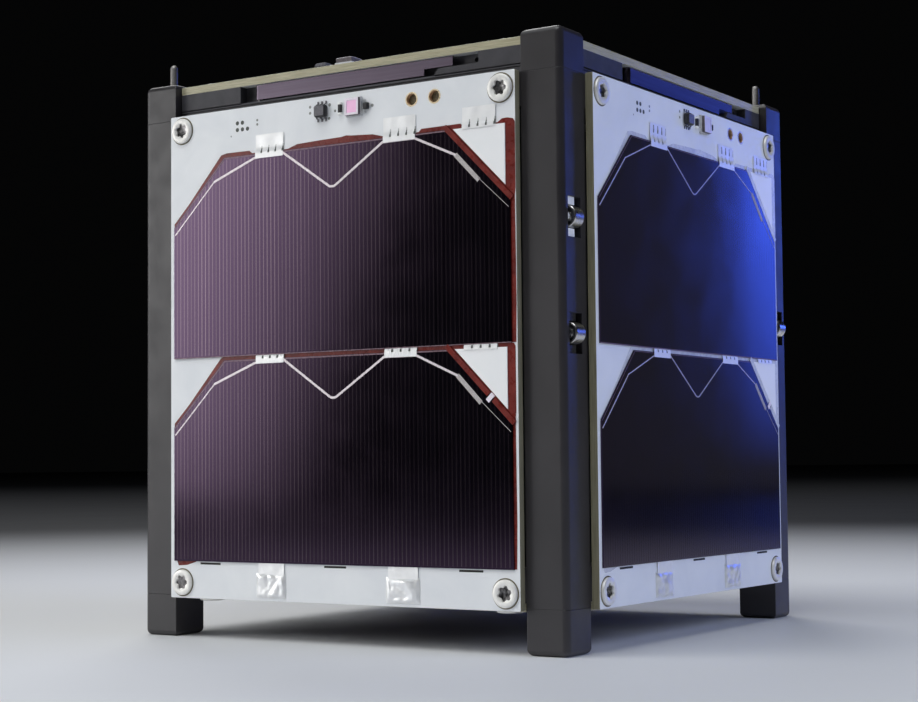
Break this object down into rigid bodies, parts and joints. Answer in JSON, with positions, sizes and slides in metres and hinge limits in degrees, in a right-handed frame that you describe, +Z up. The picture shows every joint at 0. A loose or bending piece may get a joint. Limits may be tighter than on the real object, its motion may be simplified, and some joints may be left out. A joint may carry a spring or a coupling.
{
  "type": "one-unit cube satellite",
  "caption": "Small cube satellite with corner rails and feet, solar cell panels on all faces, stowed tape antennas, switch rollers and spring plungers.",
  "frame": {"origin": "on the ground at the centre of the four bottom feet", "axes": "+Z up towards the antenna end, -Y out of the front panel, +X out of the side with the switch rollers"},
  "size_m": [0.1058, 0.1058, 0.1185],
  "materials": {
    "black_anodised": "black anodised, satin",
    "chip": "moulded black",
    "circuit_board": "white solder mask, matte",
    "diode": "silver plated",
    "sensor_window": "tinted window",
    "solar_cell": "dark violet cell under thin glass",
    "spring_tape": "plated spring tape",
    "stack": "plain block",
    "steel": "bright steel"
  },
  "bodies": {
    "bus": {"antenna_frame": "black_anodised", "antenna_hinge_pins": "steel", "avionics_stack": "stack", "bottom_board": "circuit_board", "bottom_foot_front_left": "black_anodised", "bottom_foot_front_right": "black_anodised", "bottom_foot_rear_left": "black_anodised", "bottom_foot_rear_right": "black_anodised", "bottom_solar_cells": "solar_cell", "bypass_diodes": "diode", "cross_rib_front_high": "black_anodised", "cross_rib_front_low": "black_anodised", "cross_rib_rear_high": "black_anodised", "cross_rib_rear_low": "black_anodised", "front_board": "circuit_board", "front_solar_cells": "solar_cell", "heat_sensors": "chip", "left_board": "circuit_board", "left_solar_cells": "solar_cell", "rear_board": "circuit_board", "rear_solar_cells": "solar_cell", "right_board": "circuit_board", "right_solar_cells": "solar_cell", "side_frame_left": "black_anodised", "side_frame_right": "black_anodised", "sun_sensors": "sensor_window", "switch_bracket_1": "steel", "switch_bracket_2": "steel", "switch_bracket_3": "steel", "top_board": "circuit_board", "top_foot_front_left": "black_anodised", "top_foot_front_right": "black_anodised", "top_foot_rear_left": "black_anodised", "top_foot_rear_right": "black_anodised", "top_solar_cells": "solar_cell"},
    "tape_front": {"antenna_tape_front": "spring_tape"},
    "tape_right": {"antenna_tape_right": "spring_tape"},
    "tape_rear": {"antenna_tape_rear": "spring_tape"},
    "tape_left": {"antenna_tape_left": "spring_tape"},
    "roller_1": {"switch_roller_1": "steel"},
    "roller_2": {"switch_roller_2": "steel"},
    "roller_3": {"switch_roller_3": "steel"},
    "plunger_front_left": {"separation_plunger_front_left": "steel"},
    "plunger_rear_right": {"separation_plunger_rear_right": "steel"}
  },
  "joints": [
    {"name": "tape_front_hinge", "type": "hinge", "parent": "bus", "child": "tape_front", "pos_m": [-0.0214, -0.04725, 0.1094], "axis": [0, 0, -1], "range_deg": [0, 90]},
    {"name": "tape_right_hinge", "type": "hinge", "parent": "bus", "child": "tape_right", "pos_m": [0.04725, -0.0191, 0.1094], "axis": [0, 0, -1], "range_deg": [0, 90]},
    {"name": "tape_rear_hinge", "type": "hinge", "parent": "bus", "child": "tape_rear", "pos_m": [0.0214, 0.04725, 0.1094], "axis": [0, 0, -1], "range_deg": [0, 90]},
    {"name": "tape_left_hinge", "type": "hinge", "parent": "bus", "child": "tape_left", "pos_m": [-0.04725, 0.0191, 0.1094], "axis": [0, 0, -1], "range_deg": [0, 90]},
    {"name": "roller_1_spin", "type": "hinge", "parent": "bus", "child": "roller_1", "pos_m": [0.0492, -0.04575, 0.0789], "axis": [0, 1, 0], "continuous": true},
    {"name": "roller_2_spin", "type": "hinge", "parent": "bus", "child": "roller_2", "pos_m": [0.0492, -0.04575, 0.0578], "axis": [0, 1, 0], "continuous": true},
    {"name": "roller_3_spin", "type": "hinge", "parent": "bus", "child": "roller_3", "pos_m": [0.0492, 0.04575, 0.0637], "axis": [0, 1, 0], "continuous": true},
    {"name": "plunger_front_left_slide", "type": "slide", "parent": "bus", "child": "plunger_front_left", "axis": [0, 0, -1], "range_m": [0, 0.0046], "stiffness_N_per_m": 1500},
    {"name": "plunger_rear_right_slide", "type": "slide", "parent": "bus", "child": "plunger_rear_right", "axis": [0, 0, -1], "range_m": [0, 0.0046], "stiffness_N_per_m": 1500}
  ]
}
